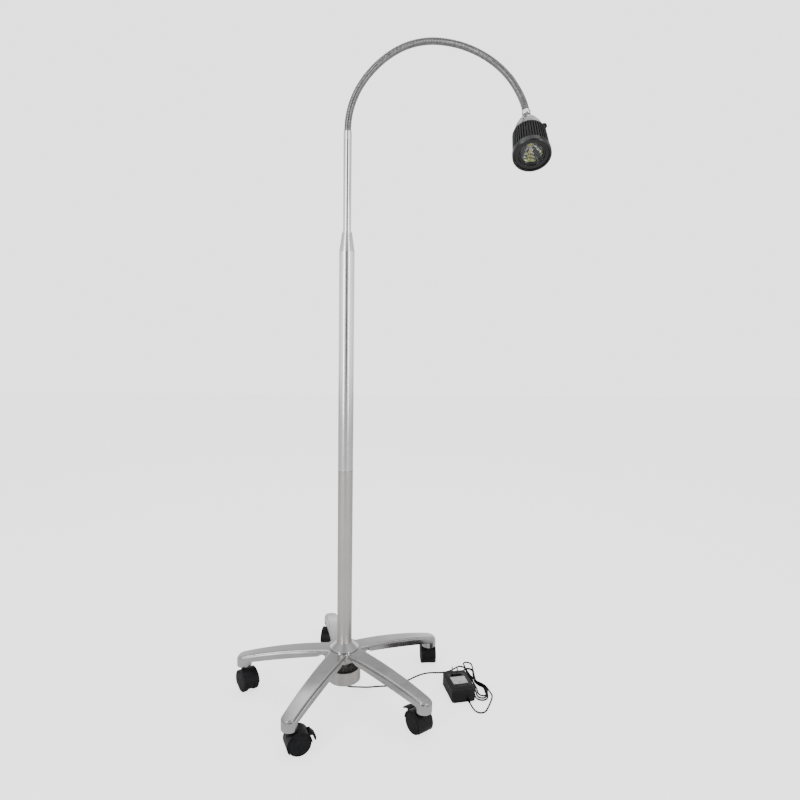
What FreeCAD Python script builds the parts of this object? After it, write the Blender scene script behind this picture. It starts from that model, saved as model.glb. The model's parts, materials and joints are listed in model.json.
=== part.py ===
import FreeCAD, Part
import Sketcher
import math
import os

# Mobile examination lamp: a five-arm cast base on twin-wheel casters, a two-part
# post, a bendable neck and a small lamp head, fed by a plug-in adapter on the floor.
# Millimetres, +Z up.  The origin is on the floor, under the axis of the post.

V = FreeCAD.Vector
UP = V(0, 0, 1)

DIMENSIONS = {
    # base casting
    "stem_circle": 238, "arm_heading": 98.8, "arm_count": 5,
    "tip_radius": 17, "arm_root_half": 23, "arm_root_at": 42,
    "crotch_radius": 18, "crown_crotch": 4, "drawing_height": 200,
    "hub_top": 112, "arm_mid_top": 103, "arm_tip_top": 76, "casting_reach": 256,
    "crown_height": 5, "crown_inset": 3.2, "crown_round": 2.2,
    "hub_under": 104, "arm_mid_under": 86, "arm_under_end": 62, "tip_under": 54,
    "casting_wall": 3.5, "hub_boss_radius": 23, "hub_boss_under": 103,
    "relief_inner": 52, "relief_outer": 66, "relief_low": 94,
    "stem_radius": 5, "stem_top": 70, "stem_flange_radius": 8,
    # post
    "post_radius": 16.8, "post_wall": 1.5, "collar_radius": 33, "collar_flare": 17.4,
    "collar_height": 15, "post_joint": 532, "post_top": 1010, "coupler_half": 45,
    "cone_top": 1054, "cone_small_radius": 11, "neck_tube_radius": 8.6,
    "neck_tube_wall": 1.2, "neck_tube_top": 1243, "neck_start": 1262,
    # ballast under the hub
    "can_radius": 38, "can_under": 35, "can_top": 65.5, "can_wall": 2,
    "ballast_top": 60, "nut_under": 77, "nut_across": 37, "nut_turn": 35,
    "bolt_radius": 8, "bolt_head_across": 24,
    "bolt_head_under": 30, "bolt_top": 108, "lead_radius": 1.8, "lead_bore": 3,
    "grommet_under": 27,
    # casters
    "axle_height": 24.5, "wheel_radius": 24.5, "wheel_inner": 7.2, "wheel_outer": 18.6,
    "disc_radius": 21.5, "trail": 17, "hood_radius": 26.4, "hood_bore": 24.95,
    "hood_half": 18.2, "web_half": 6.6, "boss_radius": 7.6, "boss_top": 50.6,
    "axle_radius": 3, "running_gap": 0.06, "hood_front_drop": 37, "axle_half": 16,
    "web_radius": 22, "lever_half": 6.5, "lever_pin_out": 25, "lever_pin_up": 15,
    "lever_pin_radius": 1.3, "lever_travel": 40,
    # neck
    "neck_radius": 7.4, "neck_bore": 3.6, "neck_length": 96.5, "neck_gap": 5.2,
    # lamp head, measured along its own axis from the end of the neck
    "cap_radius": 32, "cap_length": 67, "cap_neck_radius": 8.1, "cap_wall": 1.6,
    "barrel_rear_radius": 33.4, "barrel_front_radius": 36.2, "barrel_length": 52,
    "rib_count": 44, "rib_depth": 2.4, "rib_gap": 2.2, "rib_start": 5,
    "bezel_radius": 37.4, "bezel_length": 13, "bezel_mouth": 33.5, "bezel_step": 25.5,
    "opening_radius": 21.7, "lens_thick": 3, "lens_depth": 9,
    "reflector_depth": 24, "reflector_throat": 6.5, "board_radius": 26, "board_thick": 4,
    # plug-in adapter lying on its back
    "adapter_x": 268.5, "adapter_y": -17, "adapter_turn": 8, "adapter_wide": 56,
    "adapter_long": 84, "adapter_split": 15.5, "adapter_high": 31, "adapter_wall": 2,
    "adapter_round": 7, "adapter_edge": 2.2, "prong_spacing": 12.7, "prong_thick": 1.5,
    "prong_wide": 6.3, "prong_length": 16, "prong_from_middle": 32,
    "boot_from_middle": 9, "boot_height": 7.4, "boot_length": 13,
    "hank_under": 0.4, "hank_height": 10.2,
}

NECK_BENDS = (32, 25, 33, 28, 39, 30)       # degrees each neck length turns through
NECK_ROLLS = (0, 0, 0, -14, -20, -14)       # degrees the plane of bending rolls before it

# The push switch leans out of the cap's shoulder, this many degrees round the head.
SWITCH_BEARING = 225
SWITCH_LEAN = 0.31

# Heading the wheels trail towards, degrees from +X, and the brake of each caster.
CASTERS = {
    "back": (258, "none"),
    "left": (303, "none"),
    "front_left": (18, "pressed"),
    "front_right": (123, "released"),
    "right": (90, "none"),
}

# The lead runs from the foot of the ballast, over the floor and behind the adapter.
LEAD_RUN = (
    (0, 0, 27), (1, 0.3, 19.5), (6, 2, 13), (14, 5, 9.2), (25, 8.5, 6.2), (38, 11.5, 3.6),
    (56, 11.6, 2.3), (80, 14.5, 2.2), (106, 14.6, 2.2), (132, 22, 2.2), (154, 36.5, 2.2),
    (174, 52, 2.2), (193, 63.5, 2.2), (213, 68, 2.2), (233, 66.4, 2.2), (250, 67.5, 2.2),
    (264.5, 74, 2.2), (276.5, 83.5, 2.4), (285.7, 92, 2.6), (295.7, 92, 2.6),
    (302.7, 85, 2.4), (302.8, 73, 2.2),
)
LEAD_TAIL = (
    (285.07, -70.21, 7.4), (286.6, -80.5, 6.5), (290, -91.5, 4.2), (295.6, -100.3, 2.7),
    (304.8, -103.7, 2.2), (314.1, -100.7, 2.2), (320.8, -91.5, 2.2), (327, -80, 2.2),
    (333.8, -66, 2.2), (340.6, -52, 2.4), (344.8, -38, 3.6), (340.5, -25.5, 5.4),
)
HANK_OUTLINE = (
    (303.5, 76), (303.5, 98), (308, 106), (312.5, 108.5), (317, 106), (321.5, 98), (322, 72),
    (320, 45), (320, 26), (334, 16), (340.5, 3), (341.5, -9), (336, -24), (332.5, -38),
    (328, -50), (318, -57), (308, -54), (304, -36), (303.5, -10), (304, 20), (302, 45),
    (300, 62), (300, 74),
)
HANK_OPENING = (
    (307.5, 78), (307.5, 97), (312.5, 103.5), (317.8, 97), (318, 72), (315.5, 50),
    (312, 45), (308, 60),
)

doc = FreeCAD.newDocument("examination_lamp")
sheet = doc.addObject("Spreadsheet::Sheet", "Dims")
for row, (alias, number) in enumerate(DIMENSIONS.items(), start=1):
    sheet.set(f"A{row}", alias)
    sheet.set(f"B{row}", str(number))
    sheet.setAlias(f"B{row}", alias)
doc.recompute()

PARTS = []


def size(alias):
    """The value that the spreadsheet holds under this alias."""
    return float(sheet.get(alias))


def keep(item, label):
    """Mark a finished object as one of the lamp's pieces."""
    item.Label = label
    PARTS.append(item)
    return item


def place(x=0, y=0, z=0, axis=UP, angle=0):
    return FreeCAD.Placement(V(x, y, z), FreeCAD.Rotation(axis, angle))


ALONG_Y = FreeCAD.Rotation(V(1, 0, 0), -90)     # turns a primitive's +Z axis to +Y


def primitive(kind, name, placement=None, **formulas):
    """A Part primitive whose properties follow the spreadsheet."""
    item = doc.addObject(kind, name)
    if placement is not None:
        item.Placement = placement
    for prop, formula in formulas.items():
        item.setExpression(prop.replace("__", "."), formula.replace("$", "Dims."))
    return item


def fused(name, shapes):
    item = doc.addObject("Part::MultiFuse", name)
    item.Shapes = shapes
    return item


def cut(name, base, tools):
    item = doc.addObject("Part::Cut", name)
    item.Base = base
    item.Tool = tools[0] if len(tools) == 1 else fused(name + "_tools", tools)
    return item


def origin_plane(body, role):
    for feature in body.Origin.OriginFeatures:
        if feature.Role == role:
            return feature
    raise ValueError(role)


def evaluate(formula):
    """The number a spreadsheet formula works out to."""
    result = sheet.evalExpression(formula.replace("$", ""))
    return float(getattr(result, "Value", result))


def turned_body(name, outline):
    """A lathe-turned body about Z from (radius, height) corners given as formulas."""
    body = doc.addObject("PartDesign::Body", name)
    sketch = body.newObject("Sketcher::SketchObject", name + "_section")
    sketch.AttachmentSupport = [(origin_plane(body, "XZ_Plane"), "")]
    sketch.MapMode = "FlatFace"
    corners = [V(evaluate(a), evaluate(b), 0) for a, b in outline]
    count = len(corners)
    for i in range(count):
        sketch.addGeometry(Part.LineSegment(corners[i], corners[(i + 1) % count]), False)
    for i in range(count):
        sketch.addConstraint(Sketcher.Constraint("Coincident", i, 2, (i + 1) % count, 1))
    for i, (across, along) in enumerate(outline):
        for kind, formula, value, ref in (("DistanceX", across, corners[i].x, -2),
                                          ("DistanceY", along, corners[i].y, -1)):
            if abs(value) < 1e-9:
                sketch.addConstraint(Sketcher.Constraint("PointOnObject", i, 1, ref))
                continue
            index = sketch.addConstraint(Sketcher.Constraint(kind, -1, 1, i, 1, value))
            sketch.setExpression(f"Constraints[{index}]", formula.replace("$", "Dims."))
    turn = body.newObject("PartDesign::Revolution", name + "_turn")
    turn.Profile = sketch
    turn.ReferenceAxis = (sketch, ["V_Axis"])
    turn.Angle = 360
    body.Tip = turn
    return body


# ---------------------------------------------------------------- base casting

def arm_outline(inset, crotch):
    """The five-arm star seen from above, its sides pulled in by inset."""
    reach = size("stem_circle")
    tip = size("tip_radius") - inset
    root = V(size("arm_root_at"), size("arm_root_half") - inset, 0)
    count = int(size("arm_count"))
    half_step = math.pi / count
    span = math.hypot(reach - root.x, root.y)
    side = math.atan2(-root.y, reach - root.x) + math.asin(tip / span)
    line = V(math.cos(side), math.sin(side), 0)
    touch = root + line * math.sqrt(span ** 2 - tip ** 2)
    # where neighbouring arms' sides would meet, on the line halfway between two arms
    tangent = math.tan(half_step)
    step = (root.y - root.x * tangent) / (line.x * tangent - line.y)
    meet = root + line * step
    corner = half_step - side
    leave = meet + line * (crotch / math.tan(corner))
    bisector = V(math.cos(half_step), math.sin(half_step), 0)
    nearest = meet + bisector * (crotch / math.sin(corner) - crotch)

    def mirrored(point):
        return V(point.x, -point.y, 0)

    edges = []
    for k in range(count):
        turn = FreeCAD.Rotation(UP, size("arm_heading") + k * 360 / count)
        following = FreeCAD.Rotation(UP, size("arm_heading") + (k + 1) * 360 / count)
        spin = turn.multVec
        edges.append(Part.LineSegment(spin(mirrored(leave)), spin(mirrored(touch))).toShape())
        end = V(reach + tip, 0, 0)
        edges.append(Part.Arc(spin(mirrored(touch)), spin(end), spin(touch)).toShape())
        edges.append(Part.LineSegment(spin(touch), spin(leave)).toShape())
        edges.append(Part.Arc(spin(leave), spin(nearest),
                              following.multVec(mirrored(leave))).toShape())
    return Part.Face(Part.Wire(edges))


def dome(top, under, reach):
    """Solid of revolution between two arcs, each given by heights at 0, reach/2, reach."""
    def arc(heights, out):
        return Part.Arc(V(0, 0, heights[0]), V(out / 2, 0, heights[1]), V(out, 0, heights[2]))

    roof = arc(top, reach).toShape()
    floor = arc(under, reach).toShape()
    rim = Part.LineSegment(V(reach, 0, top[2]), V(reach, 0, under[2])).toShape()
    axis = Part.LineSegment(V(0, 0, top[0]), V(0, 0, under[0])).toShape()
    wire = Part.Wire(Part.__sortEdges__([roof, rim, floor, axis]))
    return Part.Face(wire).revolve(V(0, 0, 0), UP, 360)


def star_prism(inset, crotch):
    return arm_outline(inset, crotch).extrude(V(0, 0, size("drawing_height")))


def at_arms(maker):
    """One shape per arm, made at the stem's place."""
    shapes = []
    for k in range(int(size("arm_count"))):
        angle = math.radians(size("arm_heading") + k * 360 / size("arm_count"))
        shapes.append(maker(size("stem_circle") * math.cos(angle),
                            size("stem_circle") * math.sin(angle)))
    return shapes


def star_base():
    reach = size("casting_reach") + 2
    top = (size("hub_top"), size("arm_mid_top"), size("arm_tip_top"))
    under = (size("hub_under"), size("arm_mid_under"), size("arm_under_end"))
    ledge = tuple(height - size("crown_height") for height in top)
    wall = size("casting_wall")
    crown = star_prism(size("crown_inset"), size("crown_crotch")).common(dome(top, ledge, reach))
    rim = [edge for edge in crown.Edges
           if all(abs(v.Z - roof_height(v, top, reach)) < 0.05 for v in edge.Vertexes)]
    crown = crown.makeFillet(size("crown_round"), rim)
    relief = Part.makeCone(size("relief_outer"), size("relief_inner"),
                           size("hub_boss_under") - size("relief_low"),
                           V(0, 0, size("relief_low")))
    crotch = size("crotch_radius")
    flange = star_prism(0, crotch).common(dome(ledge, under, reach)).cut(relief)
    inside_top = tuple(height - wall for height in ledge)
    inside_low = tuple(height - 40 for height in under)
    hollow = star_prism(wall, crotch + wall).common(dome(inside_top, inside_low, reach))
    boss = Part.makeCylinder(size("hub_boss_radius"), size("hub_top") - size("hub_boss_under") - 3,
                             V(0, 0, size("hub_boss_under")))

    def tip_pad(x, y):
        height = size("arm_tip_top") - 4 - size("tip_under")
        return Part.makeCylinder(size("tip_radius"), height, V(x, y, size("tip_under")))

    def tip_socket(x, y):
        return Part.makeCylinder(size("stem_radius"), size("stem_top") - size("tip_under") + 1,
                                 V(x, y, size("tip_under") - 1))

    bore = Part.makeCylinder(size("bolt_radius"), 60, V(0, 0, 70))
    seat = Part.makeCylinder(size("post_radius"), 10, V(0, 0, size("hub_top") - 4))
    casting = flange.cut(hollow).fuse([crown, boss] + at_arms(tip_pad))
    casting = casting.cut([bore, seat] + at_arms(tip_socket)).removeSplitter()
    item = doc.addObject("Part::Feature", "star_base")
    item.Shape = casting
    keep(item, "star_base")


def roof_height(vertex, heights, reach):
    """Height of the arc through the three heights at the vertex's distance out."""
    circle = Part.Circle(V(0, 0, heights[0]), V(reach / 2, 0, heights[1]),
                         V(reach, 0, heights[2]))
    out = math.hypot(vertex.X, vertex.Y)
    return circle.Center.z + math.sqrt(circle.Radius ** 2 - (out - circle.Center.x) ** 2)


# ---------------------------------------------------------------- post and ballast

def tube(name, radius, wall, bottom, top):
    """A straight tube standing on the axis of the post."""
    return keep(turned_body(name, [
        (f"{radius} - {wall}", bottom), (radius, bottom), (radius, top),
        (f"{radius} - {wall}", top)]), name)


def hexagonal_prism(name, across, bottom, top):
    item = primitive("Part::Prism", name, Circumradius=f"{across} / 2 / cos(30)",
                     Height=f"({top}) - ({bottom})")
    item.Polygon = 6
    item.setExpression("Placement.Base.z", f"({bottom})".replace("$", "Dims."))
    return item


def post():
    keep(turned_body("hub_collar", [
        ("$post_radius + 0.05", "$hub_top"), ("$collar_radius", "$hub_top"),
        ("$collar_radius", "$hub_top + 2"), ("$collar_flare + 1", "$hub_top + $collar_height"),
        ("$post_radius + 0.05", "$hub_top + $collar_height")]), "hub_collar")
    tube("lower_tube", "$post_radius", "$post_wall", "$hub_top - 4", "$post_joint - 0.3")
    tube("upper_tube", "$post_radius", "$post_wall", "$post_joint + 0.3", "$post_top")
    tube("tube_coupler", "$post_radius - $post_wall", "$post_wall + 0.8",
         "$post_joint - $coupler_half", "$post_joint + $coupler_half")
    keep(turned_body("cone_reducer", [
        ("$neck_tube_radius", "$post_top - 20"), ("$post_radius - $post_wall", "$post_top - 20"),
        ("$post_radius - $post_wall", "$post_top"), ("$post_radius", "$post_top"),
        ("$post_radius", "$post_top + 2"), ("$cone_small_radius", "$cone_top - 3"),
        ("$cone_small_radius", "$cone_top"), ("$neck_tube_radius", "$cone_top")]),
        "cone_reducer")
    tube("neck_tube", "$neck_tube_radius", "$neck_tube_wall", "$post_top - 20", "$neck_tube_top")
    keep(turned_body("neck_ferrule", [
        ("$neck_radius - 1.4", "$neck_tube_top - 10"),
        ("$neck_tube_radius - $neck_tube_wall", "$neck_tube_top - 10"),
        ("$neck_tube_radius - $neck_tube_wall", "$neck_tube_top"),
        ("$neck_tube_radius", "$neck_tube_top"), ("$neck_tube_radius", "$neck_start - 2"),
        ("$neck_tube_radius - 0.8", "$neck_start"), ("$neck_radius - 1.4", "$neck_start")]),
        "neck_ferrule")


def ballast():
    keep(turned_body("ballast_can", [
        ("$bolt_radius", "$can_under"), ("$can_radius - 1", "$can_under"),
        ("$can_radius", "$can_under + 1"), ("$can_radius", "$can_top"),
        ("$can_radius - $can_wall", "$can_top"),
        ("$can_radius - $can_wall", "$can_under + $can_wall"),
        ("$bolt_radius", "$can_under + $can_wall")]), "ballast_can")
    keep(turned_body("ballast_weight", [
        ("$bolt_radius", "$can_under + $can_wall"),
        ("$can_radius - $can_wall", "$can_under + $can_wall"),
        ("$can_radius - $can_wall", "$ballast_top"), ("$nut_across * 0.68", "$ballast_top + 2"),
        ("$nut_across * 0.54", "$nut_under"), ("$bolt_radius", "$nut_under")]),
        "ballast_weight")
    spacer = hexagonal_prism("hub_nut_blank", "$nut_across", "$nut_under", "$hub_boss_under")
    spacer.setExpression("Placement.Rotation.Angle", "Dims.nut_turn")
    hole = primitive("Part::Cylinder", "hub_nut_hole", place(0, 0, 50),
                     Radius="$bolt_radius", Height="$can_top")
    keep(cut("hub_nut", spacer, [hole]), "hub_nut")
    head = hexagonal_prism("bolt_head", "$bolt_head_across", "$bolt_head_under", "$can_under")
    shank = primitive("Part::Cylinder", "bolt_shank", Radius="$bolt_radius",
                      Height="$bolt_top - $can_under", Placement__Base__z="$can_under")
    passage = primitive("Part::Cylinder", "bolt_passage", place(0, 0, 20),
                        Radius="$lead_bore", Height="$bolt_top")
    keep(cut("hollow_bolt", fused("bolt_solid", [head, shank]), [passage]), "hollow_bolt")
    keep(turned_body("cord_grommet", [
        ("$lead_radius", "$grommet_under"), ("$lead_radius + 1.6", "$grommet_under"),
        ("$lead_radius + 3.2", "$bolt_head_under - 0.6"),
        ("$lead_radius + 3.2", "$bolt_head_under"), ("$lead_bore", "$bolt_head_under"),
        ("$lead_bore", "$can_under"), ("$lead_radius", "$can_under")]), "cord_grommet")
    wire = primitive("Part::Cylinder", "inner_lead", Radius="$lead_radius",
                     Height="$neck_start - $grommet_under - 6",
                     Placement__Base__z="$grommet_under")
    keep(wire, "inner_lead")


# ---------------------------------------------------------------- casters

def caster_placement(index, heading):
    """Local frame of a caster: floor under its axle, +X the way its wheels trail."""
    angle = math.radians(size("arm_heading") + index * 360 / size("arm_count"))
    turn = math.radians(heading)
    x = size("stem_circle") * math.cos(angle) + size("trail") * math.cos(turn)
    y = size("stem_circle") * math.sin(angle) + size("trail") * math.sin(turn)
    return place(x, y, 0, UP, heading)


def axle_cylinder(name, radius, half, about=None, **more):
    """A cylinder lying along the axle, centred between the wheels."""
    item = primitive("Part::Cylinder", name, Radius=radius, Height=f"2 * ({half})", **more)
    item.Placement = FreeCAD.Placement(V(0, 0, 0), about or ALONG_Y)
    item.setExpression("Placement.Base.y", f"-({half})".replace("$", "Dims."))
    item.setExpression("Placement.Base.z", "Dims.axle_height")
    return item


def caster_hood(name, placement, braked):
    """Shroud over both wheels, a web between them and a boss round the stem."""
    sweep = 180 + size("hood_front_drop")
    # the sector starts level on the trailing side and passes over the top
    start = FreeCAD.Rotation(V(0, 1, 0), -sweep).multiply(ALONG_Y)
    shroud = axle_cylinder(name + "_shroud", "$hood_radius", "$hood_half", start,
                           Angle="180 + $hood_front_drop")
    web = axle_cylinder(name + "_web", "$hood_radius - 0.5", "$web_half", start,
                        Angle="180 + $hood_front_drop")
    hub = axle_cylinder(name + "_hub", "$web_radius", "$web_half")
    well = axle_cylinder(name + "_well", "$hood_bore", "$hood_half + 1")
    boss = primitive("Part::Cylinder", name + "_boss", Radius="$boss_radius",
                     Height="$boss_top - $axle_height", Placement__Base__x="-$trail",
                     Placement__Base__z="$axle_height")
    space = [axle_cylinder(name + "_room", "$hood_bore", "$hood_half + 1")]
    shell = cut(name + "_shell", shroud, [well])
    # the boss is trimmed to the web's width below the shroud, clear of the wheels
    slab = primitive("Part::Box", name + "_slab", Length="4 * $boss_radius",
                     Width="2 * $web_half", Height="$boss_top",
                     Placement__Base__x="-$trail - 2 * $boss_radius",
                     Placement__Base__y="-$web_half")
    cheek = cut(name + "_cheeks", boss, space)
    inner = doc.addObject("Part::Common", name + "_inner_boss")
    boss_again = primitive("Part::Cylinder", name + "_boss_low", Radius="$boss_radius",
                           Height="$boss_top - $axle_height", Placement__Base__x="-$trail",
                           Placement__Base__z="$axle_height")
    inner.Base = boss_again
    inner.Tool = slab
    solids = [shell, web, hub, cheek, inner]
    if braked:
        for side in (-1, 1):
            ear = primitive("Part::Box", f"{name}_ear_{side + 1}", Length="7", Height="8",
                            Width="2.2", Placement__Base__x="$lever_pin_out - 4.5",
                            Placement__Base__z="$axle_height + $lever_pin_up - 5",
                            Placement__Base__y=f"{side} * ($lever_half + 1.5) - 1.1")
            room = axle_cylinder(f"{name}_ear_room_{side + 1}", "$hood_bore", "$hood_half")
            solids.append(cut(f"{name}_ear_trimmed_{side + 1}", ear, [room]))
    stem_hole = primitive("Part::Cylinder", name + "_stem_hole",
                          Radius="$stem_radius + $running_gap", Height="60",
                          Placement__Base__x="-$trail", Placement__Base__z="$axle_height + 4")
    axle_hole = axle_cylinder(name + "_axle_hole", "$axle_radius", "$web_half + 2")
    tools = [stem_hole, axle_hole]
    if braked:
        pin_hole = axle_cylinder(name + "_pin_hole", "$lever_pin_radius + $running_gap",
                                 "$lever_half + 4")
        pin_hole.setExpression("Placement.Base.x", "Dims.lever_pin_out")
        pin_hole.setExpression("Placement.Base.z", "Dims.axle_height + Dims.lever_pin_up")
        tools.append(pin_hole)
    hood = cut(name, fused(name + "_solid", solids), tools)
    hood.Placement = placement
    keep(hood, name)


def caster_wheel(name, placement, side):
    """A wheel turned about its axle: tread, recessed outer disc and a hub inside."""
    body = turned_body(name, [
        ("$axle_radius + $running_gap", "$wheel_inner"), ("$axle_radius + 3", "$wheel_inner"),
        ("$axle_radius + 3", "$wheel_inner + 8.6"), ("$wheel_radius - 4", "$wheel_inner + 8.6"),
        ("$wheel_radius - 3", "$wheel_inner"), ("$wheel_radius - 1", "$wheel_inner"),
        ("$wheel_radius", "$wheel_inner + 1"), ("$wheel_radius", "$wheel_outer - 2.2"),
        ("$wheel_radius - 0.8", "$wheel_outer - 0.9"), ("$wheel_radius - 2.2", "$wheel_outer - 0.4"),
        ("$disc_radius + 0.2", "$wheel_outer - 0.4"), ("$disc_radius", "$wheel_outer - 1.2"),
        ("$disc_radius - 0.6", "$wheel_outer - 1.2"), ("$disc_radius - 1", "$wheel_outer - 0.3"),
        ("$disc_radius - 4", "$wheel_outer"), ("0", "$wheel_outer"),
        ("0", "$axle_half + 0.4"), ("$axle_radius + $running_gap", "$axle_half + 0.4")])
    lay = FreeCAD.Rotation(V(1, 0, 0), -90 * side)
    body.Placement = placement.multiply(
        FreeCAD.Placement(V(0, 0, size("axle_height")), lay))
    keep(body, name)


def brake_lever(name, placement, pressed):
    """Foot lever: a barrel with trunnions and a pedal curling down, drawn pressed."""
    out = size("lever_pin_out")
    up = size("lever_pin_up") + size("axle_height")
    half = size("lever_half")
    arch = [V(out, 0, up + 2.4), V(out + 8.5, 0, up - 4), V(out + 11.8, 0, up - 19.2)]
    belly = [V(out + 9.2, 0, up - 19.6), V(out + 5.6, 0, up - 9.5), V(out, 0, up - 3)]
    edges = [Part.Arc(*arch).toShape(), Part.LineSegment(arch[2], belly[0]).toShape(),
             Part.Arc(*belly).toShape(), Part.LineSegment(belly[2], arch[0]).toShape()]
    pedal = Part.Face(Part.Wire(edges)).extrude(V(0, 2 * half, 0))
    pedal.translate(V(0, -half, 0))
    along = V(0, 1, 0)
    barrel = Part.makeCylinder(2.5, 2 * half, V(out, -half, up), along)
    reach = half + 2.4
    pin = Part.makeCylinder(size("lever_pin_radius"), 2 * reach, V(out, -reach, up), along)
    clear = Part.makeCylinder(size("hood_radius") + 0.45, 60, V(0, -30, size("axle_height")), along)
    raised = clear.copy()
    raised.rotate(V(out, 0, up), along, size("lever_travel"))
    lever = pedal.fuse([barrel]).cut([clear, raised]).fuse(pin).removeSplitter()
    lift = FreeCAD.Rotation(along, 0 if pressed else -size("lever_travel"))
    item = doc.addObject("Part::Feature", name)
    item.Shape = lever
    item.Placement = placement.multiply(FreeCAD.Placement(V(), lift, V(out, 0, up)))
    keep(item, name)


def casters():
    stems = []
    for index, (corner, (heading, brake)) in enumerate(CASTERS.items()):
        placement = caster_placement(index, heading)
        name = f"caster_{corner}"
        caster_hood(name + "_hood", placement, brake != "none")
        axle = primitive("Part::Cylinder", name + "_axle", Radius="$axle_radius",
                         Height="2 * $axle_half")
        start = FreeCAD.Placement(V(0, -size("axle_half"), size("axle_height")), ALONG_Y)
        axle.Placement = placement.multiply(start)
        keep(axle, name + "_axle")
        caster_wheel(name + "_wheel_a", placement, 1)
        caster_wheel(name + "_wheel_b", placement, -1)
        if brake != "none":
            brake_lever(name + "_lever", placement, brake == "pressed")
        angle = math.radians(size("arm_heading") + index * 360 / size("arm_count"))
        foot = V(size("stem_circle") * math.cos(angle), size("stem_circle") * math.sin(angle), 0)
        low = size("axle_height") + 6
        shank = Part.makeCylinder(size("stem_radius"), size("stem_top") - low, foot + UP * low)
        flange_low = size("boss_top") + 0.8
        flange = Part.makeCylinder(size("stem_flange_radius"), size("tip_under") - flange_low,
                                   foot + UP * flange_low)
        stems.append(shank.fuse(flange).removeSplitter())
    item = doc.addObject("Part::Feature", "caster_stems")
    item.Shape = Part.Compound(stems)
    keep(item, "caster_stems")


# ---------------------------------------------------------------- neck

def neck_frames():
    """Position, direction and bending axis at each end of the six neck lengths."""
    point = V(0, 0, size("neck_start"))
    direction = V(0, 0, 1)
    axis = V(0, 1, 0)
    frames = []
    for bend, roll in zip(NECK_BENDS, NECK_ROLLS):
        axis = FreeCAD.Rotation(direction, roll).multVec(axis)
        frames.append((V(point), V(direction), V(axis)))
        radius = size("neck_length") / math.radians(bend)
        inward = axis.cross(direction)
        centre = point + inward * radius
        turn = FreeCAD.Rotation(axis, bend)
        point = centre + turn.multVec(point - centre)
        direction = turn.multVec(direction)
    frames.append((V(point), V(direction), V(axis)))
    return frames


def neck_segment(name, frame, bend, trim_start, trim_end):
    """One length of the flexible neck: a bent tube, a little short at its free ends."""
    point, direction, axis = frame
    radius = size("neck_length") / math.radians(bend)
    inward = axis.cross(direction)
    centre = point + inward * radius
    first = math.degrees(trim_start / radius)
    last = bend - math.degrees(trim_end / radius)
    parts = []
    for suffix, thick in (("_outer", "$neck_radius"), ("_bore", "$neck_bore")):
        ring = primitive("Part::Torus", name + suffix, Radius2=thick)
        ring.Radius1 = radius
        ring.Angle1 = -180
        ring.Angle2 = 180
        ring.Angle3 = last - first
        parts.append(ring)
    length = cut(name, parts[0], [parts[1]])
    # the ring starts on local +X and sweeps about local +Z
    outward = inward.multiply(-1.0)
    along = FreeCAD.Rotation(axis, first)
    start_x = along.multVec(outward)
    start_y = along.multVec(direction)
    frame_matrix = FreeCAD.Matrix(start_x.x, start_y.x, axis.x, centre.x,
                                  start_x.y, start_y.y, axis.y, centre.y,
                                  start_x.z, start_y.z, axis.z, centre.z, 0, 0, 0, 1)
    length.Placement = FreeCAD.Placement(frame_matrix)
    keep(length, name)


def neck(frames):
    gap = size("neck_gap") / 2
    count = len(NECK_BENDS)
    for i, bend in enumerate(NECK_BENDS):
        neck_segment(f"neck_length_{i + 1}", frames[i], bend,
                     0 if i == 0 else gap, 0 if i == count - 1 else gap)


# ---------------------------------------------------------------- lamp head

def on_head(frames):
    """Placement that stands a piece turned about Z on the end of the neck."""
    point, direction, axis = frames[-1]
    side = axis.cross(direction)
    matrix = FreeCAD.Matrix(side.x, axis.x, direction.x, point.x,
                            side.y, axis.y, direction.y, point.y,
                            side.z, axis.z, direction.z, point.z, 0, 0, 0, 1)
    return FreeCAD.Placement(matrix)


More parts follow.
